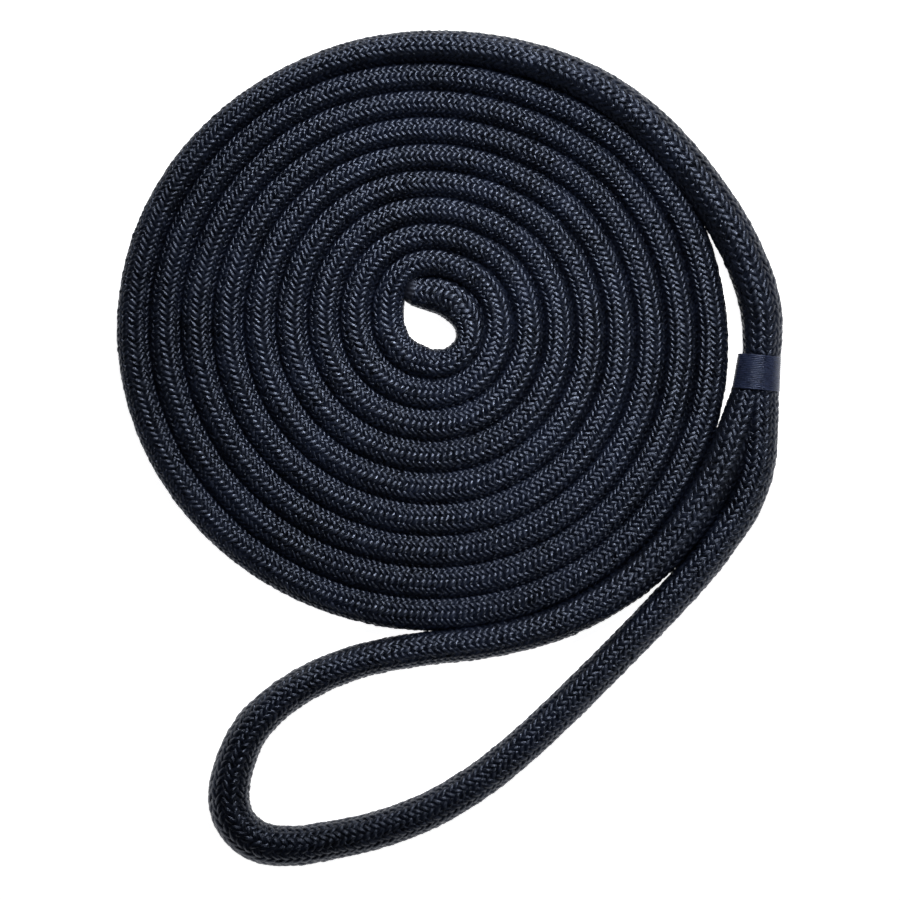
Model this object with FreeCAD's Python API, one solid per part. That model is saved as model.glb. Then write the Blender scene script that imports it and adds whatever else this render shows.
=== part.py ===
"""Coiled dock line: half-inch double-braid nylon rope in a flat coil, with a spliced and whipped eye.

Millimetres, +Z up, the floor at Z = 0 and the origin below the middle of the whole line.
The line lies flat. It starts at its sealed end in the middle of the coil, winds outwards clockwise
as seen from above, leaves the coil as the standing part, and goes round the eye back to the throat.
Every stretch outside the coil is a braided cover with a braided core inside it.
"""

import FreeCAD, Part
import math
import os

from FreeCAD import Vector

# Driving dimensions
ROPE_DIAMETER = 12.7
SPLICE_DIAMETER = 17.5
TAPER_DIAMETER = 0.5 * (ROPE_DIAMETER + SPLICE_DIAMETER)
LEG_DIAMETER = 14.8
CROWN_DIAMETER = SPLICE_DIAMETER
CORE_SHARE = 0.62
CORE_CLEARANCE = 0.1

# The coil: each turn is wider than the last by the pitch, and the turns drift and grow oval outwards
TURNS = 9
POINTS_PER_TURN = 24
TURN_PITCH = 13.15
START_RADIUS = 10.0
START_ANGLE = 130.0
FIRST_CENTRE = (-6.5, 55.9)
DRIFT_PER_TURN = (-0.26, -1.0)
OVAL_PER_TURN = 0.43
OVAL_ANGLE = -14.5
# Every turn also bulges round the sealed end and towards the throat, and is a little flat in two places.
# Each row is the part of a turn where that is, its half length in turns, the turn where it is largest and
# its size there
BULGES = [(0.06, 0.11, 1, 2.7), (0.88, 0.09, 0, -1.5), (0.262, 0.062, 8, 4.2), (0.73, 0.09, 8, -0.6)]
BULGE_DECAY = 0.85
SIDE_CLEARANCE = 0.55
RIM_ROUND = 4.5

# The open middle of the coil, and the sealed end beside it
HOLE_CENTRE = (-9.4, 53.4)
HOLE_HALF_LENGTH = 12.0
HOLE_HALF_WIDTH = 9.3
HOLE_ANGLE = -38.0
END_TIP = (-19.9, 70.2)
END_ANGLE = 165.0
SEAL_LENGTH = 5.0
SEAL_DIAMETER = 12.0

# The line outside the coil, as the corners of straight runs, one list for each stretch
LEAD = [(-65.5, 163.8), (-37.0, 173.4)]
TAPER = [(-7.0, 176.3), (23.3, 173.2)]
SPLICE = [(53.2, 164.0), (79.0, 149.0), (100.2, 129.0), (117.8, 105.8), (128.5, 86.5),
          (135.1, 68.0), (137.0, 54.0)]
OUTER_LEG = [(123.4, -33.8), (113.0, -49.0), (101.0, -62.8), (80.6, -84.0), (50.7, -113.8),
             (20.6, -141.0), (-6.0, -157.8), (-30.5, -167.2), (-51.0, -171.6)]
CROWN = [(-71.0, -174.8), (-87.0, -172.0), (-97.0, -159.2), (-96.0, -142.0)]
INNER_LEG = [(-87.0, -121.0), (-67.5, -104.6), (-42.3, -93.2), (-13.0, -87.7), (17.0, -84.9), (45.5, -78.0),
             (71.0, -65.2), (93.0, -47.4), (109.6, -26.8)]

# The throat, where the two legs come together and go into the standing part
BAND_TOP = (135.6, 40.6)
BAND_LENGTH = 15.8
BAND_ANGLE = -95.96
BAND_WIDTH = 20.5
BAND_HEIGHT = 17.5
BAND_THICKNESS = 0.8
THROAT_END = (127.6, -7.0)
THROAT_END_ANGLE = -112.4
THROAT_GAP = 0.15
THROAT_RUN = 10.0

ARC_SHARE = 0.45


def heading(degrees):
    """A flat unit vector at an angle from +X."""
    angle = math.radians(degrees)
    return Vector(math.cos(angle), math.sin(angle), 0)


def coil_point(turn, outwards=0.0):
    """The centre of the rope after this many turns of the coil, moved outwards by a distance."""
    degrees = START_ANGLE - 360.0 * turn
    oval = OVAL_PER_TURN * turn * math.cos(math.radians(2.0 * (degrees - OVAL_ANGLE)))
    radius = START_RADIUS + TURN_PITCH * turn + oval + outwards
    for part, half_length, largest, size in BULGES:
        for lap in range(TURNS):
            shape = math.exp(-((turn - lap - part) / half_length) ** 2)
            radius += size * BULGE_DECAY ** abs(lap - largest) * shape
    centre = Vector(*FIRST_CENTRE, 0) + Vector(*DRIFT_PER_TURN, 0) * turn
    return centre + heading(degrees) * radius


def rounded_path(corners, height, half_runs):
    """Straight runs through the corners, joined by tangent arcs as large as the runs allow.

    half_runs says whether the first and the last run are only half of a run that another stretch shares.
    """
    points = [Vector(x, y, height) for x, y in corners]
    lengths = [(there - here).Length for here, there in zip(points, points[1:])]
    lengths[0] *= 2 if half_runs[0] else 1
    lengths[-1] *= 2 if half_runs[1] else 1
    edges = []
    here = points[0]
    for number, corner in enumerate(points[1:-1]):
        back = points[number] - corner
        ahead = points[number + 2] - corner
        reach = ARC_SHARE * min(lengths[number], lengths[number + 1])
        half_turn = 0.5 * (math.pi - back.getAngle(ahead))
        radius = reach / math.tan(half_turn)
        print(f"bend at {corner.x:.1f}, {corner.y:.1f}: radius {radius:.0f} mm")
        back.normalize()
        ahead.normalize()
        inwards = (back + ahead).normalize()
        start = corner + back * reach
        end = corner + ahead * reach
        middle = corner + inwards * (radius / math.cos(half_turn) - radius)
        edges.append(Part.LineSegment(here, start).toShape())
        edges.append(Part.Arc(start, middle, end).toShape())
        here = end
    edges.append(Part.LineSegment(here, points[-1]).toShape())
    return Part.Wire(edges)


def tube(path, radius):
    """A round solid along a path."""
    first = path.Edges[0]
    start = first.valueAt(first.FirstParameter)
    along = first.tangentAt(first.FirstParameter)
    ring = Part.Wire(Part.makeCircle(radius, start, along))
    return path.makePipeShell([ring], True, True)


def cover_and_core(name, corners, diameter, half_runs):
    """One stretch of the line lying on the floor: a hollow cover and the core that fills it."""
    path = rounded_path(corners, 0.5 * diameter, half_runs)
    core_radius = 0.5 * CORE_SHARE * diameter
    outside = tube(path, 0.5 * diameter)
    cover = outside.cut(tube(path, core_radius + CORE_CLEARANCE))
    core = tube(path, core_radius)
    full = math.pi * (0.5 * diameter) ** 2 * path.Length
    print(f"{name}: {path.Length:.0f} mm long, volume {outside.Volume / full:.4f} of section times length")
    return {name + "_cover": cover, name + "_core": core}


def between(corner, other):
    """The point halfway along a run."""
    return (0.5 * (corner[0] + other[0]), 0.5 * (corner[1] + other[1]))


def oval_wire(centre, degrees, width, height):
    """An upright oval across a heading, standing on the floor when its centre is at half its height."""
    side = heading(degrees + 90.0) * (0.5 * width)
    rise = Vector(0, 0, 0.5 * height)
    return Part.Wire(Part.Ellipse(centre + side, centre + rise, centre).toShape())


def round_edges(solid, radius, shortest):
    """Round every edge that is longer than a length, which picks the long rims."""
    rims = [edge for edge in solid.Edges if edge.Length > shortest]
    return solid.makeFillet(radius, rims)


def make_coil():
    """The outer shape of the coil, with its open middle and a slot where the sealed end lies."""
    outwards = 0.5 * ROPE_DIAMETER - SIDE_CLEARANCE
    first = (TURNS - 1) * POINTS_PER_TURN
    last = TURNS * POINTS_PER_TURN
    rim = [coil_point(step / POINTS_PER_TURN, outwards) for step in range(first, last + 1)]
    curve = Part.BSplineCurve()
    curve.interpolate(rim)
    outline = Part.Wire([curve.toShape(), Part.LineSegment(rim[-1], rim[0]).toShape()])
    disc = Part.Face(outline).extrude(Vector(0, 0, ROPE_DIAMETER))
    disc = round_edges(disc, RIM_ROUND, 10.0 * ROPE_DIAMETER)

    hole_centre = Vector(*HOLE_CENTRE, 0)
    length_end = hole_centre + heading(HOLE_ANGLE) * HOLE_HALF_LENGTH
    width_end = hole_centre + heading(HOLE_ANGLE + 90.0) * HOLE_HALF_WIDTH
    hole_wire = Part.Wire(Part.Ellipse(length_end, width_end, hole_centre).toShape())
    disc = disc.cut(Part.Face(hole_wire).extrude(Vector(0, 0, ROPE_DIAMETER)))

    along = heading(END_ANGLE)
    side = heading(END_ANGLE + 90.0) * (0.5 * SEAL_DIAMETER)
    tip = Vector(*END_TIP, 0)
    root = tip - along * SEAL_LENGTH
    corners = [root - side, tip - side, tip + side, root + side, root - side]
    slot = Part.Face(Part.makePolygon(corners)).extrude(Vector(0, 0, ROPE_DIAMETER))
    return disc.cut(slot)


def make_sealed_end():
    """The melted end of the rope: a short plug with a domed tip."""
    radius = 0.5 * SEAL_DIAMETER
    root = Vector(*END_TIP, 0.5 * ROPE_DIAMETER) - heading(END_ANGLE) * SEAL_LENGTH
    plug = Part.makeCylinder(radius, SEAL_LENGTH, root, heading(END_ANGLE))
    far_rim = [edge for edge in plug.Edges if (edge.CenterOfMass - root).Length > 0.9 * SEAL_LENGTH]
    return plug.makeFillet(0.4 * radius, far_rim)


def band_bottom():
    """The middle of the whipping's lower face, at floor height."""
    return Vector(*BAND_TOP, 0) + heading(BAND_ANGLE) * BAND_LENGTH


def make_throat():
    """The rope inside the whipping, widening below it to the width of the two legs."""
    width = BAND_WIDTH - 2.0 * BAND_THICKNESS
    height = BAND_HEIGHT - 2.0 * BAND_THICKNESS
    rise = Vector(0, 0, 0.5 * BAND_HEIGHT)
    top = Vector(*BAND_TOP, 0) + rise
    bottom = band_bottom() + rise
    neck = Part.Face(oval_wire(top, BAND_ANGLE, width, height)).extrude(bottom - top)

    end = Vector(*THROAT_END, 0.5 * LEG_DIAMETER)
    end_width = 2.0 * LEG_DIAMETER + THROAT_GAP
    middle = (bottom + end) * 0.5 + heading(BAND_ANGLE + 90.0) * 0.5
    middle_angle = 0.5 * (BAND_ANGLE + THROAT_END_ANGLE)
    sections = [oval_wire(bottom, BAND_ANGLE, width, height),
                oval_wire(middle, middle_angle, 0.5 * (width + end_width), height),
                oval_wire(end, THROAT_END_ANGLE, end_width, LEG_DIAMETER)]
    return neck.fuse(Part.makeLoft(sections, True, True)).removeSplitter()


def make_whipping():
    """The band of twine wound round the throat."""
    top = Vector(*BAND_TOP, 0.5 * BAND_HEIGHT)
    down = heading(BAND_ANGLE) * BAND_LENGTH
    outer = Part.Face(oval_wire(top, BAND_ANGLE, BAND_WIDTH, BAND_HEIGHT)).extrude(down)
    inner_width = BAND_WIDTH - 2.0 * BAND_THICKNESS
    inner_height = BAND_HEIGHT - 2.0 * BAND_THICKNESS
    inner = Part.Face(oval_wire(top, BAND_ANGLE, inner_width, inner_height)).extrude(down)
    return outer.cut(inner)


def throat_corners(side):
    """The start of a leg, square to the throat's end. Side is 1 for the outer leg, -1 for the inner one."""
    across = heading(THROAT_END_ANGLE + 90.0) * (0.5 * side * (LEG_DIAMETER + THROAT_GAP))
    start = Vector(*THROAT_END, 0) + across
    corner = start + heading(THROAT_END_ANGLE) * THROAT_RUN
    return [(start.x, start.y), (corner.x, corner.y)]


def make_stretches():
    """Every free stretch of the line, each ending halfway along a run where the next one starts."""
    coil_end = coil_point(TURNS)
    lead_end = between(LEAD[-1], TAPER[0])
    taper_end = between(TAPER[-1], SPLICE[0])
    leg_end = between(OUTER_LEG[-1], CROWN[0])
    crown_end = between(CROWN[-1], INNER_LEG[0])
    inner_end = throat_corners(-1)[::-1]
    stretches = [("lead", [(coil_end.x, coil_end.y)] + LEAD + [lead_end], ROPE_DIAMETER, (False, True)),
                 ("taper", [lead_end] + TAPER + [taper_end], TAPER_DIAMETER, (True, True)),
                 ("splice", [taper_end] + SPLICE + [BAND_TOP], SPLICE_DIAMETER, (True, False)),
                 ("outer_leg", throat_corners(1) + OUTER_LEG + [leg_end], LEG_DIAMETER, (False, True)),
                 ("crown", [leg_end] + CROWN + [crown_end], CROWN_DIAMETER, (True, True)),
                 ("inner_leg", [crown_end] + INNER_LEG + inner_end, LEG_DIAMETER, (True, False))]
    nodes = {}
    for name, corners, diameter, half_runs in stretches:
        nodes.update(cover_and_core(name, corners, diameter, half_runs))
    return nodes


def main():
    os.makedirs("parts", exist_ok=True)
    nodes = {"coil": make_coil(), "sealed_end": make_sealed_end()}
    nodes.update(make_stretches())
    # The coil ends in a radial face, so the start of the lead is trimmed flush with it
    for name in ("lead_cover", "lead_core"):
        nodes[name] = nodes[name].cut(nodes["coil"])
    nodes["throat"] = make_throat()
    nodes["throat_whipping"] = make_whipping()
    for name, shape in nodes.items():
        shape.exportStep(f"parts/{name}.step")
        print(f"{name}: valid {shape.isValid()}, {len(shape.Solids)} solid, volume {shape.Volume:.0f}")
    whole = Part.makeCompound(list(nodes.values())).optimalBoundingBox()
    print(f"whole: x {whole.XMin:.2f} to {whole.XMax:.2f}, y {whole.YMin:.2f} to {whole.YMax:.2f}")
    print(f"whole: z {whole.ZMin:.2f} to {whole.ZMax:.2f}")


main()
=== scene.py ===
import math

import bpy
import mathutils
import numpy as np
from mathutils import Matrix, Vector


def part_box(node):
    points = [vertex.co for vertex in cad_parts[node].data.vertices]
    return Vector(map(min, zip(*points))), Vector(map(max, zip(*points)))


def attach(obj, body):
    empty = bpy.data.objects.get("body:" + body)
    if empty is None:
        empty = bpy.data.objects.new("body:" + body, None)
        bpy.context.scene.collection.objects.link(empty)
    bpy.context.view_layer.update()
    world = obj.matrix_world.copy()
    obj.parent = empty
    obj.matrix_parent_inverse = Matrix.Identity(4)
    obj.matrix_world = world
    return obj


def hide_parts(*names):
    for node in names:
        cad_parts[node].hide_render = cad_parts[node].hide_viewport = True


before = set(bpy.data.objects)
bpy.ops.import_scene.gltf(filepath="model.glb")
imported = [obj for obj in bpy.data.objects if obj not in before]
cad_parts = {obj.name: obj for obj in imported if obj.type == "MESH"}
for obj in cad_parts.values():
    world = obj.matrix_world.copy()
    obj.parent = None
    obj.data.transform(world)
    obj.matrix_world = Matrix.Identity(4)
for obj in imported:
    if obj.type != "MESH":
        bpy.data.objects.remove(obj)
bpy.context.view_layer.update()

# A braided dock line in a flat coil, with a whipped eye. The whole line is one cord on one smooth route:
# separate yarns over a dark liner, a helix of twine round the throat and a melted end inside the coil.
# Sizes are in metres and angles in degrees, in the CAD model's frame.

# ---------------------------------------------------------------- sizes of the route
ROPE_RADIUS = 0.00635

# The coil's formula, as in part.py. The sealed end's own points stand in for its steps before the first one
TURNS = 9
FIRST_STEP = 16
POINTS_PER_TURN = 24
TURN_PITCH = 0.01315
START_RADIUS = 0.010
START_ANGLE = 130.0
FIRST_CENTRE = (-0.0065, 0.0559)
DRIFT_PER_TURN = (-0.00026, -0.0010)
OVAL_PER_TURN = 0.00043
OVAL_ANGLE = -14.5
# Every turn also bulges round the sealed end and towards the throat, and is a little flat in two places.
# Each row is the part of a turn where that is, its half length in turns, the turn where it is largest and
# its size there
BULGES = [(0.06, 0.11, 1, 0.0027), (0.88, 0.09, 0, -0.0015),
          (0.262, 0.062, 8, 0.0042), (0.73, 0.09, 8, -0.0006)]
BULGE_DECAY = 0.85
# A turn is as wide as its distance to the turns beside it. Before this part of the first turn there are none
INNERMOST_TURN = 0.2
# The braid's bumps stand out of the rope's mean surface by RELIEF, and the turns press together by SQUEEZE
RELIEF = 0.0003
SQUEEZE = 0.0003
# A section is a true oval at 1 and more like a box below that, where the coil's turns lie against each other
COIL_SHAPE = 0.80
FREE_SHAPE = 1.0

# The sealed end, a little flattened: x, y, half width and half height
END = [(-0.0160, 0.0690, 0.0067, 0.0057), (-0.0078, 0.0676, 0.0078, 0.0057),
       (0.0002, 0.0655, 0.0084, 0.0057), (0.0060, 0.0606, 0.0081, 0.0059),
       (0.0096, 0.0536, 0.0070, 0.0062), (0.0093, 0.0466, 0.0064, 0.0063),
       (0.0060, 0.0414, 0.0062, 0.0063), (0.0012, 0.0380, 0.0062, 0.0064),
       (-0.0034, 0.0368, 0.0063, 0.0064), (-0.0082, 0.0366, 0.0065, 0.0064)]
# The line outside the coil: x, y and the rope's radius there, which is also its height above the floor
LEAD = [(-0.0654, 0.1635, 0.0065), (-0.0370, 0.1731, 0.0069)]
TAPER = [(-0.0070, 0.1760, 0.0072), (0.0231, 0.1728, 0.0078)]
SPLICE = [(0.0530, 0.1637, 0.0084), (0.0787, 0.1487, 0.0088), (0.0997, 0.1286, 0.0089),
          (0.1171, 0.1054, 0.0090), (0.1279, 0.0863, 0.0091), (0.1347, 0.0680, 0.0092),
          (0.1370, 0.0540, 0.0089)]
THROAT_OUT = [(0.1360, 0.0320, 0.0079), (0.1354, 0.0080, 0.0083), (0.1344, -0.0098, 0.0080),
              (0.1280, -0.0261, 0.0080)]
OUTER_LEG = [(0.1229, -0.0334, 0.0079), (0.1125, -0.0486, 0.0078), (0.1005, -0.0623, 0.0077),
             (0.0801, -0.0835, 0.0076), (0.0504, -0.1134, 0.0077), (0.0204, -0.1409, 0.0078),
             (-0.0061, -0.1578, 0.0080), (-0.0305, -0.1671, 0.0081), (-0.0510, -0.1714, 0.0083)]
CROWN = [(-0.0709, -0.1746, 0.0088), (-0.0868, -0.1718, 0.0090), (-0.0968, -0.1591, 0.0090),
         (-0.0959, -0.1420, 0.0088)]
INNER_LEG = [(-0.0870, -0.1210, 0.0080), (-0.0675, -0.1046, 0.0076), (-0.0423, -0.0932, 0.0074),
             (-0.0130, -0.0877, 0.0073), (0.0170, -0.0849, 0.0073), (0.0455, -0.0780, 0.0074),
             (0.0710, -0.0652, 0.0077), (0.0930, -0.0474, 0.0082), (0.1094, -0.0268, 0.0087)]
THROAT_IN = [(0.1206, -0.0061, 0.0090), (0.1268, 0.0110, 0.0085), (0.1313, 0.0240, 0.0079),
             (0.1331, 0.0360, 0.0070)]
# How many points the smooth line is read at for each of its control points
CURVE_STEPS = 24

# ---------------------------------------------------------------- sizes of the pieces The braid: this many
# yarns in each direction, crossing at 45 degrees, over two and under two.
YARNS = 16
RING_SPACING = 0.0008
FLOAT_RISE = 0.00042
# A yarn's half width, as a share of its place on the girth, so that neighbours meet
YARN_HALF_WIDTH = 0.52
# Each yarn is an arch of this height, with points at these shares of its half width. The arch is part of
# an oval, and its edges stop short of the oval's ends
YARN_CROWN = 0.00060
YARN_PROFILE = (-1.0, -0.5, 0.5, 1.0)
ARCH_SHARE = 0.98
# How far the yarns wander, with a new amount after each wander length: across, in yarns, and up
WANDER_LENGTH = 0.0035
WANDER_ACROSS = 0.09
WANDER_RISE = 0.00013
# For the material: millimetres along a yarn for each metre of rope, and half of the millimetres across all
# the yarns of one direction for each metre of girth. Each yarn gets its own number up to the last one here
YARN_MM_ALONG = 1414.0
YARN_MM_ACROSS = 354.0
YARN_NUMBERS = 50.0

# The liner lies this deep in the rope, and has a ring at every third ring of the yarns
LINER_DEPTH = 0.0019
LINER_POINTS = 24
LINER_STEP = 3

# The whipping round the throat, a little wider at its lower end and shifted sideways from its CAD node
BAND_ANGLE = -95.96
BAND_LENGTH = 0.0158
BAND_HALF_WIDTHS = (0.0095, 0.0105)
BAND_HALF_HEIGHT = 0.00905
BAND_SHIFT = -0.0002
# The twine, with this many steps to each turn of its helix and this many points round it
TWINE_RADIUS = 0.00042
TWINE_STEPS = 96
TWINE_POINTS = 8
# Pulled tight, the twine is flatter than it is wide, and its neighbours touch
TWINE_THICKNESS = 0.6
TWINE_WIDTH = 1.02
TWINE_MM_PER_RADIAN = 9.6

# The melted end: a dome whose first part is sunk into the rope, with a lump for each yarn and five wide ones
SEAL_ANGLE = 165.0
SEAL_LENGTH = 0.0050
SEAL_RADIUS = 0.0062
SEAL_POINTS = 64
SEAL_ROWS = 26
SEAL_SUNK = 0.2
SEAL_TIP = 0.02
SEAL_ROUNDNESS = 0.55
YARN_LUMPS = 0.035
WIDE_LUMPS = 0.03

# ---------------------------------------------------------------- looks
# Filaments: their lean across the yarn, then how fast the hairs and the bundles of hairs change for each
# millimetre along the yarn and across it
TWIST = 0.22
HAIRS_ALONG = 0.05
BUNDLES_ALONG = 0.40
BUNDLES_ACROSS = 1.5
# How much of the tone comes from hairs, bundles and wider patches, and how fast the patches change
HAIR_SHARE = 0.4
BUNDLE_SHARE = 0.6
PATCH_SHARE = 0.35
PATCH_SCALE = 45.0
# The tone where the colour starts to lighten and where it is lightest, and where the roughness starts to
# rise and where it has risen by all of its gain
TONE_RANGE = (0.58, 0.85)
ROUGH_RANGE = (0.38, 0.62)
ROUGH_GAIN = 0.26
BUNDLE_BUMP = 1.2
NYLON_TINT = (0.64, 0.74, 1.0, 1.0)
NYLON_IOR = 1.53

ROPE_DARK = (0.0002, 0.0004, 0.0012, 1.0)
ROPE_LIGHT = (0.006, 0.009, 0.021, 1.0)
ROPE_ROUGHNESS = 0.19
ROPE_FILAMENTS = 7.0
TWINE_DARK = (0.0060, 0.0085, 0.0220, 1.0)
TWINE_LIGHT = (0.027, 0.037, 0.087, 1.0)
TWINE_ROUGHNESS = 0.22
TWINE_FILAMENTS = 9.0
MELTED_DARK = (0.001, 0.001, 0.003, 1.0)
MELTED_LIGHT = (0.006, 0.007, 0.012, 1.0)
FLOOR_DARK = (0.86, 0.86, 0.86, 1.0)
FLOOR_LIGHT = (0.90, 0.90, 0.90, 1.0)
# The floor gives off a little less light than pure white, so that it is white without strong lamps
FLOOR_GLOW = 0.97

# How wide the camera's view is at the height of the rope's middle, its lens in millimetres and its place
VIEW_WIDTH = 0.39375
CAMERA_LENS = 150.0
CAMERA_CENTRE = (0.0002, -0.0009)

# Each lamp's name, place, target, radius, cone and power
LAMPS = [("key", (0.12, 0.50, 1.0), (0.01, 0.06, 0.0), 0.10, 25.0, 37.0),
         ("top", (0.06, 0.80, 0.55), (0.01, 0.06, 0.0), 0.12, 26.0, 32.0),
         ("right", (0.60, -0.45, 0.60), (0.09, -0.07, 0.0), 0.12, 22.0, 7.0)]
WORLD_COLOUR = (0.95, 0.97, 1.0, 1.0)
# The world's strength falls from the first amount to the second between these heights above the horizon
HORIZON = (0.03, 0.10)
WORLD_STRENGTH = (0.95, 0.03)
FLOOR_HALF = 3.0
FLOOR_HEIGHT = -0.0002

UP = np.array([0.0, 0.0, 1.0])
rng = np.random.default_rng(7)


# ---------------------------------------------------------------- camera
def make_camera():
    """A camera straight above the line."""
    data = bpy.data.cameras.new("camera")
    data.lens = CAMERA_LENS
    camera = bpy.data.objects.new("camera", data)
    bpy.context.collection.objects.link(camera)
    distance = VIEW_WIDTH * CAMERA_LENS / data.sensor_width
    camera.location = (*CAMERA_CENTRE, ROPE_RADIUS + distance)
    bpy.context.scene.camera = camera


make_camera()


# ---------------------------------------------------------------- the cord's line
def coil_place(turn):
    """Control point x and y after this many turns of the coil."""
    degrees = START_ANGLE - 360.0 * turn
    oval = OVAL_PER_TURN * turn * math.cos(math.radians(2.0 * (degrees - OVAL_ANGLE)))
    radius = START_RADIUS + TURN_PITCH * turn + oval
    for part, half_length, largest, size in BULGES:
        for lap in range(TURNS):
            shape = math.exp(-((turn - lap - part) / half_length) ** 2)
            radius += size * BULGE_DECAY ** abs(lap - largest) * shape
    # The spline passes inside its control points by a small amount, which is added here
    step = 2.0 * math.pi * radius / POINTS_PER_TURN
    reach = radius + step ** 2 / (8.0 * radius)
    angle = math.radians(degrees)
    return (FIRST_CENTRE[0] + DRIFT_PER_TURN[0] * turn + reach * math.cos(angle),
            FIRST_CENTRE[1] + DRIFT_PER_TURN[1] * turn + reach * math.sin(angle))


def coil_point(turn):
    """Control point x, y and half width of the rope after this many turns of the coil."""
    here = coil_place(turn)
    neighbours = [near for near in (turn - 1.0, turn + 1.0) if INNERMOST_TURN < near < TURNS]
    gaps = [math.dist(here, coil_place(near)) for near in neighbours]
    return (*here, 0.5 * sum(gaps) / len(gaps) + SQUEEZE)


def spline_points(name, points):
    """The points of a smooth NURBS line through three-number control points."""
    curve = bpy.data.curves.new(name, "CURVE")
    curve.dimensions = "3D"
    curve.resolution_u = CURVE_STEPS
    spline = curve.splines.new("NURBS")
    spline.points.add(len(points) - 1)
    for point, place in zip(spline.points, points):
        point.co = (*place, 1.0)
    spline.order_u = 3
    spline.use_endpoint_u = True
    line = bpy.data.objects.new(name, curve)
    mesh = bpy.data.meshes.new_from_object(line)
    found = np.empty(3 * len(mesh.vertices))
    mesh.vertices.foreach_get("co", found)
    bpy.data.objects.remove(line)
    return found.reshape(-1, 3)


def make_route():
    """Every ring's distance along the cord, its centre, its half width and half height, and its shape."""
    places = []
    sizes = []
    for x, y, half_width, half_height in END:
        places.append((x, y, half_height + RELIEF))
        sizes.append((half_width, half_height, COIL_SHAPE))
    for step in range(FIRST_STEP, TURNS * POINTS_PER_TURN + 1):
        x, y, half_width = coil_point(step / POINTS_PER_TURN)
        half_height = ROPE_RADIUS ** 2 / half_width
        places.append((x, y, half_height + RELIEF))
        sizes.append((half_width, half_height, COIL_SHAPE))
    for x, y, radius in LEAD + TAPER + SPLICE + THROAT_OUT + OUTER_LEG + CROWN + INNER_LEG + THROAT_IN:
        places.append((x, y, radius + RELIEF))
        sizes.append((radius, radius, FREE_SHAPE))
    line = spline_points("route", places)
    sections = spline_points("sizes", sizes)
    runs = np.linalg.norm(np.diff(line, axis=0), axis=1)
    along = np.concatenate([[0.0], np.cumsum(runs)])
    stations = np.linspace(0.0, along[-1], int(along[-1] / RING_SPACING) + 1)
    centres = np.stack([np.interp(stations, along, line[:, k]) for k in range(3)], axis=1)
    sections = np.stack([np.interp(stations, along, sections[:, k]) for k in range(3)], axis=1)
    return stations, centres, RELIEF + sections[:, :2], sections[:, 2:]


stations, centres, halves, shapes = make_route()
rope_length = float(stations[-1])
print(f"rope centreline {rope_length:.3f} m, {len(stations)} rings")

headings = np.gradient(centres, axis=0)
headings /= np.linalg.norm(headings, axis=1)[:, None]
sides = np.stack([headings[:, 1], -headings[:, 0], np.zeros(len(headings))], axis=1)
sides /= np.linalg.norm(sides, axis=1)[:, None]
ups = np.cross(sides, headings)
girth = 2.0 * math.pi * np.sqrt(0.5 * (halves[:, 0] ** 2 + halves[:, 1] ** 2))


def around(angle, depth):
    """Points on the rope's sections at these angles, this deep below the surface."""
    across = np.sign(np.cos(angle)) * np.abs(np.cos(angle)) ** shapes * (halves[:, :1] - depth)
    up = np.sign(np.sin(angle)) * np.abs(np.sin(angle)) ** shapes * (halves[:, 1:] - depth)
    return centres[:, None, :] + sides[:, None, :] * across[:, :, None] + ups[:, None, :] * up[:, :, None]


# ---------------------------------------------------------------- mesh helpers
def full_circle(points):
    """This many angles round a circle."""
    return np.linspace(0.0, 2.0 * math.pi, points, endpoint=False)


def direction(degrees):
    """A flat unit vector at an angle from +X."""
    return np.array([math.cos(math.radians(degrees)), math.sin(math.radians(degrees)), 0.0])


def box_middle(node):
    """The middle of a CAD node's box."""
    low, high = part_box(node)
    return 0.5 * (np.array(low) + np.array(high))


def grid_quads(rings, across, closed):
    """Vertex numbers of the quads of one grid."""
    ring = np.arange(rings - 1)[:, None] * across
    column = np.arange(across if closed else across - 1)[None, :]
    right = (column + 1) % across
    corners = [ring + column, ring + right, ring + right + across, ring + column + across]
    return np.stack([corner.ravel() for corner in corners], axis=1)


def mesh_piece(name, grids, marks, material, closed=False):
    """A smooth mesh object from grids of points. Marks holds three numbers for every point."""
    points = []
    faces = []
    values = []
    used = 0
    for grid, mark in zip(grids, marks):
        rings, across, _ = grid.shape
        faces.append(grid_quads(rings, across, closed) + used)
        points.append(grid.reshape(-1, 3))
        values.append(mark.reshape(-1, 3))
        used += rings * across
    mesh = bpy.data.meshes.new(name)
    mesh.from_pydata(np.concatenate(points), [], np.concatenate(faces))
    attribute = mesh.attributes.new("strand", "FLOAT_VECTOR", "POINT")
    attribute.data.foreach_set("vector", np.concatenate(values).ravel())
    mesh.polygons.foreach_set("use_smooth", np.ones(len(mesh.polygons), dtype=bool))
    mesh.materials.append(material)
    mesh.update()
    piece = bpy.data.objects.new(name, mesh)
    bpy.context.collection.objects.link(piece)
    return piece


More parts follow.
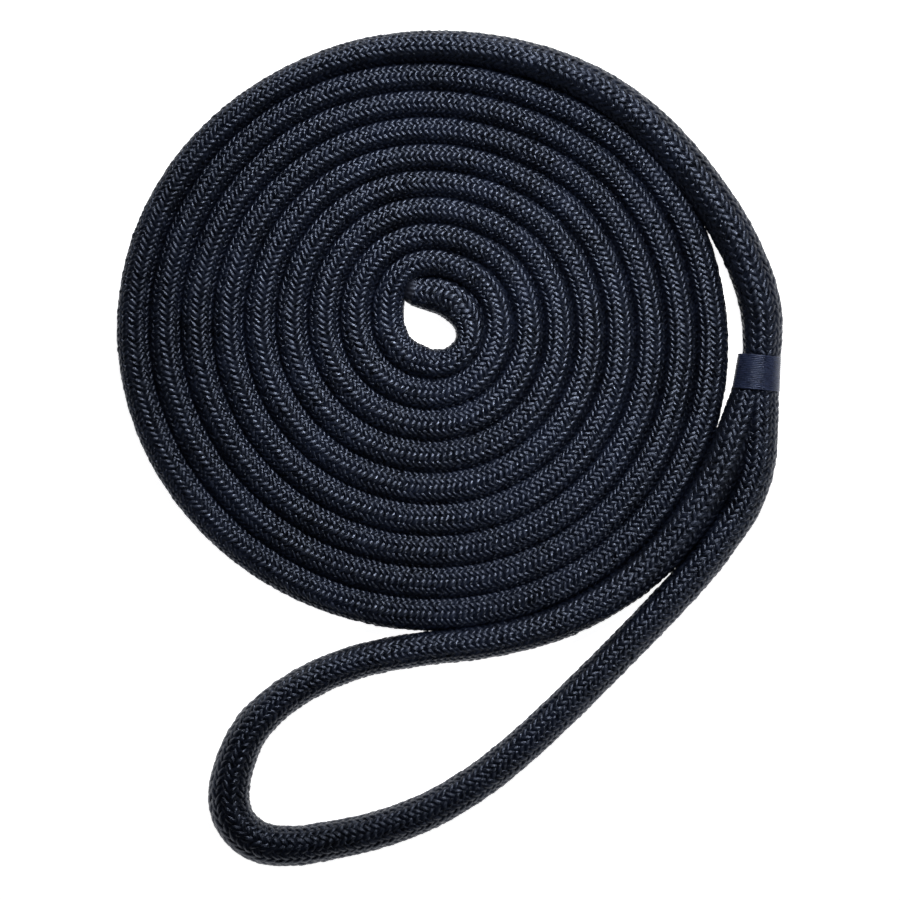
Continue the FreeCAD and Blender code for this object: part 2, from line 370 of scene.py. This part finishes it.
# ---------------------------------------------------------------- materials
class Nodes:
    """A material's node tree with short ways to add and join nodes."""

    def __init__(self, name):
        self.material = bpy.data.materials.new(name)
        self.material.use_nodes = True
        self.tree = self.material.node_tree
        self.shader = self.tree.nodes["Principled BSDF"]

    def add(self, kind, **settings):
        node = self.tree.nodes.new(kind)
        for key, value in settings.items():
            setattr(node, key, value)
        return node

    def join(self, output, socket):
        self.tree.links.new(output, socket)

    def feed(self, value, socket):
        """Join an output to a socket, or set the socket to a plain value."""
        if isinstance(value, bpy.types.NodeSocket):
            self.join(value, socket)
        else:
            socket.default_value = value

    def math(self, operation, *values):
        node = self.add("ShaderNodeMath", operation=operation)
        for socket, value in zip(node.inputs, values):
            self.feed(value, socket)
        return node.outputs[0]

    def combine(self, x, y, z):
        node = self.add("ShaderNodeCombineXYZ")
        for socket, value in zip(node.inputs, (x, y, z)):
            self.feed(value, socket)
        return node.outputs[0]

    def place(self):
        return self.add("ShaderNodeTexCoord").outputs["Object"]

    def noise(self, vector, scale, detail, roughness):
        node = self.add("ShaderNodeTexNoise")
        self.join(vector, node.inputs["Vector"])
        node.inputs["Scale"].default_value = scale
        node.inputs["Detail"].default_value = detail
        node.inputs["Roughness"].default_value = roughness
        return node.outputs["Fac"]

    def spread(self, value, low, high, to_low, to_high):
        """Map the range from low to high onto the range from to_low to to_high."""
        node = self.add("ShaderNodeMapRange")
        for socket, item in zip(node.inputs, (value, low, high, to_low, to_high)):
            self.feed(item, socket)
        return node.outputs[0]

    def blend(self, factor, dark, light):
        node = self.add("ShaderNodeMix", data_type="RGBA")
        self.feed(factor, node.inputs[0])
        self.feed(dark, node.inputs[6])
        self.feed(light, node.inputs[7])
        return node.outputs[2]

    def bump(self, height, distance, strength):
        node = self.add("ShaderNodeBump")
        self.join(height, node.inputs["Height"])
        node.inputs["Distance"].default_value = distance
        node.inputs["Strength"].default_value = strength
        self.join(node.outputs["Normal"], self.shader.inputs["Normal"])


def yarn_material(name, dark, light, roughness, filaments):
    """Twisted nylon filament yarn.

    The mesh's strand attribute says where a point is: x runs along the yarn and y across it, in
    millimetres, and z is each yarn's own number.
    """
    nodes = Nodes(name)
    strand = nodes.add("ShaderNodeAttribute", attribute_name="strand")
    split = nodes.add("ShaderNodeSeparateXYZ")
    nodes.join(strand.outputs["Vector"], split.inputs[0])
    along, across, number = split.outputs
    twisted = nodes.math("MULTIPLY_ADD", along, TWIST, across)
    hair_place = nodes.combine(nodes.math("MULTIPLY", along, HAIRS_ALONG),
                               nodes.math("MULTIPLY", twisted, filaments), number)
    bundle_place = nodes.combine(nodes.math("MULTIPLY", along, BUNDLES_ALONG),
                                 nodes.math("MULTIPLY", twisted, BUNDLES_ACROSS), number)
    hairs = nodes.noise(hair_place, scale=1.0, detail=3.0, roughness=0.6)
    bundles = nodes.noise(bundle_place, scale=1.0, detail=2.0, roughness=0.5)
    patches = nodes.noise(nodes.place(), scale=PATCH_SCALE, detail=2.0, roughness=0.5)
    mixed = nodes.math("MULTIPLY_ADD", bundles, BUNDLE_SHARE, nodes.math("MULTIPLY", hairs, HAIR_SHARE))
    tone = nodes.math("MULTIPLY_ADD", patches, PATCH_SHARE, mixed)
    colour = nodes.blend(nodes.spread(tone, *TONE_RANGE, 0.0, 1.0), dark, light)
    nodes.join(colour, nodes.shader.inputs["Base Color"])
    rough = nodes.spread(mixed, *ROUGH_RANGE, roughness, roughness + ROUGH_GAIN)
    nodes.join(rough, nodes.shader.inputs["Roughness"])
    nodes.bump(nodes.math("MULTIPLY_ADD", bundles, BUNDLE_BUMP, hairs), distance=0.0001, strength=0.7)
    nodes.shader.inputs["Specular Tint"].default_value = NYLON_TINT
    nodes.shader.inputs["Specular IOR Level"].default_value = 0.5
    nodes.shader.inputs["IOR"].default_value = NYLON_IOR
    return nodes.material


def melted_material():
    """Nylon melted to a hard, sooty and lumpy end."""
    nodes = Nodes("melted_nylon")
    place = nodes.place()
    lumps = nodes.noise(place, scale=420.0, detail=3.0, roughness=0.6)
    soot = nodes.noise(place, scale=900.0, detail=2.0, roughness=0.5)
    colour = nodes.blend(nodes.spread(soot, 0.35, 0.70, 0.0, 1.0), MELTED_DARK, MELTED_LIGHT)
    nodes.join(colour, nodes.shader.inputs["Base Color"])
    nodes.join(nodes.spread(soot, 0.30, 0.70, 0.35, 0.60), nodes.shader.inputs["Roughness"])
    nodes.bump(lumps, distance=0.0003, strength=0.5)
    nodes.shader.inputs["Specular Tint"].default_value = NYLON_TINT
    nodes.shader.inputs["IOR"].default_value = NYLON_IOR
    return nodes.material


def floor_material():
    """Pale, slightly grainy and dull, and glowing so that it stays even."""
    nodes = Nodes("pale_floor")
    grain = nodes.noise(nodes.place(), scale=240.0, detail=3.0, roughness=0.6)
    nodes.join(nodes.blend(grain, FLOOR_DARK, FLOOR_LIGHT), nodes.shader.inputs["Base Color"])
    nodes.shader.inputs["Roughness"].default_value = 0.8
    nodes.shader.inputs["Specular IOR Level"].default_value = 0.2
    nodes.shader.inputs["Emission Color"].default_value = (1.0, 1.0, 1.0, 1.0)
    nodes.shader.inputs["Emission Strength"].default_value = FLOOR_GLOW
    return nodes.material


# ---------------------------------------------------------------- the braided rope
def wander():
    """A gently changing random amount for each ring."""
    knots = np.arange(0.0, rope_length + WANDER_LENGTH, WANDER_LENGTH)
    return np.interp(stations, knots, rng.normal(size=len(knots)))[:, None]


def yarn_grid(hand, yarn, phase):
    """One yarn of the braid, one row of points for each ring, and the marks that its material reads."""
    edge = np.array(YARN_PROFILE)[None, :]
    place = yarn + YARN_HALF_WIDTH * edge + WANDER_ACROSS * wander()
    turned = phase[:, None] * hand
    angle = 2.0 * math.pi * (place + turned) / YARNS
    # The nearest yarn of the other direction counts up along the yarn: two over, then two under
    count = yarn + place + 2.0 * turned
    wave = np.cos((count - 0.5) * math.pi / 2.0) * hand
    height = FLOAT_RISE * wave + WANDER_RISE * wander()
    arch = YARN_CROWN * np.sqrt(1.0 - ARCH_SHARE * edge ** 2)
    grid = around(angle, FLOAT_RISE + YARN_CROWN - height - arch)
    along = np.broadcast_to(YARN_MM_ALONG * stations[:, None], angle.shape)
    across = edge * YARN_MM_ACROSS * girth[:, None] / YARNS
    number = np.full(angle.shape, rng.uniform(0.0, YARN_NUMBERS))
    return grid, np.stack([along, across, number], axis=2)


def make_rope():
    """All the yarns of both directions."""
    # The phase is how far round the rope a yarn has gone at each ring, counted in yarns
    mean_girth = 0.5 * (girth[1:] + girth[:-1])
    phase = np.concatenate([[0.0], np.cumsum(YARNS * np.diff(stations) / mean_girth)])
    grids = []
    marks = []
    for hand in (1, -1):
        for yarn in range(YARNS):
            grid, mark = yarn_grid(hand, yarn, phase)
            grids.append(grid)
            marks.append(mark)
    return mesh_piece("braided_rope", grids, marks, rope_yarn)


def make_liner():
    """The dark inside of the rope, which closes the view between the yarns."""
    grid = around(full_circle(LINER_POINTS)[None, :], LINER_DEPTH)[::LINER_STEP]
    return mesh_piece("rope_liner", [grid], [np.zeros(grid.shape)], rope_yarn, closed=True)


rope_yarn = yarn_material("navy_nylon_yarn", ROPE_DARK, ROPE_LIGHT, ROPE_ROUGHNESS, ROPE_FILAMENTS)
rope = make_rope()
liner = make_liner()


# ---------------------------------------------------------------- the whipping
def make_whipping():
    """One helix of twine, wound tight from the top of the band to its lower end."""
    turns = BAND_LENGTH / (2.0 * TWINE_RADIUS)
    steps = int(turns * TWINE_STEPS)
    turned = 2.0 * math.pi * np.arange(steps + 1) / TWINE_STEPS
    lengthwise = np.linspace(-0.5, 0.5, steps + 1) * (BAND_LENGTH - 2.0 * TWINE_RADIUS)
    down = direction(BAND_ANGLE)
    side = direction(BAND_ANGLE + 90.0)
    middle = box_middle("throat_whipping") + side * BAND_SHIFT
    middle[2] = BAND_HALF_HEIGHT
    half_width = np.linspace(*BAND_HALF_WIDTHS, steps + 1)
    sideways = (np.cos(turned) * half_width)[:, None] * side
    outwards = sideways + np.sin(turned)[:, None] * UP * BAND_HALF_HEIGHT
    line = middle + lengthwise[:, None] * down + outwards
    normal = outwards / np.linalg.norm(outwards, axis=1)[:, None]
    angle = full_circle(TWINE_POINTS)[None, :, None]
    thickness = (np.cos(angle) - 1.0) * TWINE_RADIUS * TWINE_THICKNESS * normal[:, None, :]
    width = np.sin(angle) * TWINE_RADIUS * TWINE_WIDTH * down
    grid = line[:, None, :] + thickness + width
    along = np.broadcast_to(turned[:, None] * TWINE_MM_PER_RADIAN, grid.shape[:2])
    across = np.broadcast_to(np.sin(angle[:, :, 0]) * 1000.0 * TWINE_RADIUS, grid.shape[:2])
    mark = np.stack([along, across, np.zeros(grid.shape[:2])], axis=2)
    return mesh_piece("whipping_turns", [grid], [mark], twine, closed=True)


twine = yarn_material("waxed_twine", TWINE_DARK, TWINE_LIGHT, TWINE_ROUGHNESS, TWINE_FILAMENTS)
whipping = make_whipping()


# ---------------------------------------------------------------- the melted end
def make_seal():
    """A plug of melted yarn ends: rings from inside the rope to the domed tip, lumpy towards the rim."""
    out = direction(SEAL_ANGLE)
    side = direction(SEAL_ANGLE - 90.0)
    angle = full_circle(SEAL_POINTS)
    rows = []
    for share in np.linspace(0.0, 1.0, SEAL_ROWS):
        reach = SEAL_LENGTH * (math.sin(0.5 * math.pi * share) - SEAL_SUNK)
        radius = SEAL_RADIUS * max(SEAL_TIP, math.cos(0.5 * math.pi * share) ** SEAL_ROUNDNESS)
        yarn_lumps = YARN_LUMPS * np.cos(YARNS * angle) * (1.0 - share)
        lumps = 1.0 + yarn_lumps + WIDE_LUMPS * np.cos(5.0 * angle + 1.0)
        ring = (np.cos(angle) * lumps)[:, None] * side + (np.sin(angle) * lumps)[:, None] * UP
        rows.append(centres[0] + out * reach + radius * ring)
    grid = np.stack(rows)
    return mesh_piece("melted_tip", [grid], [np.zeros(grid.shape)], melted_material(), closed=True)


seal = make_seal()

# ---------------------------------------------------------------- bodies and nodes
STRETCHES = ("lead", "taper", "splice", "outer_leg", "crown", "inner_leg")
for piece in (rope, liner, whipping, seal):
    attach(piece, "root")
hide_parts("coil", "throat", *[name + "_cover" for name in STRETCHES])
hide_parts(*[name + "_core" for name in STRETCHES])
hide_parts("throat_whipping")
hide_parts("sealed_end")


# ---------------------------------------------------------------- floor and light
def make_floor():
    """A wide square just below the line."""
    mesh = bpy.data.meshes.new("floor")
    corners = [(-FLOOR_HALF, -FLOOR_HALF, 0), (FLOOR_HALF, -FLOOR_HALF, 0),
               (FLOOR_HALF, FLOOR_HALF, 0), (-FLOOR_HALF, FLOOR_HALF, 0)]
    mesh.from_pydata(corners, [], [(0, 1, 2, 3)])
    mesh.materials.append(floor_material())
    floor = bpy.data.objects.new("floor", mesh)
    floor.location.z = FLOOR_HEIGHT
    bpy.context.collection.objects.link(floor)


def make_spot(name, place, target, radius, cone, power):
    """A round soft lamp whose beam fades from its middle to the edge of its cone."""
    data = bpy.data.lights.new(name, "SPOT")
    data.shadow_soft_size = radius
    data.spot_size = math.radians(cone)
    data.spot_blend = 1.0
    data.energy = power
    lamp = bpy.data.objects.new(name, data)
    lamp.location = place
    back = lamp.location - mathutils.Vector(target)
    lamp.rotation_mode = "QUATERNION"
    lamp.rotation_quaternion = back.to_track_quat("Z", "Y")
    bpy.context.collection.objects.link(lamp)


def make_world():
    """A dim room with a pale band along the horizon, which is the backdrop in low views."""
    world = bpy.data.worlds.new("studio")
    world.use_nodes = True
    tree = world.node_tree
    background = tree.nodes["Background"]
    background.inputs["Color"].default_value = WORLD_COLOUR
    place = tree.nodes.new("ShaderNodeTexCoord")
    split = tree.nodes.new("ShaderNodeSeparateXYZ")
    fade = tree.nodes.new("ShaderNodeMapRange")
    for socket, value in zip(fade.inputs[1:], HORIZON + WORLD_STRENGTH):
        socket.default_value = value
    tree.links.new(place.outputs["Generated"], split.inputs[0])
    tree.links.new(split.outputs["Z"], fade.inputs[0])
    tree.links.new(fade.outputs[0], background.inputs["Strength"])
    bpy.context.scene.world = world


make_floor()
for lamp in LAMPS:
    make_spot(*lamp)
make_world()
bpy.context.scene.view_settings.view_transform = "Standard"
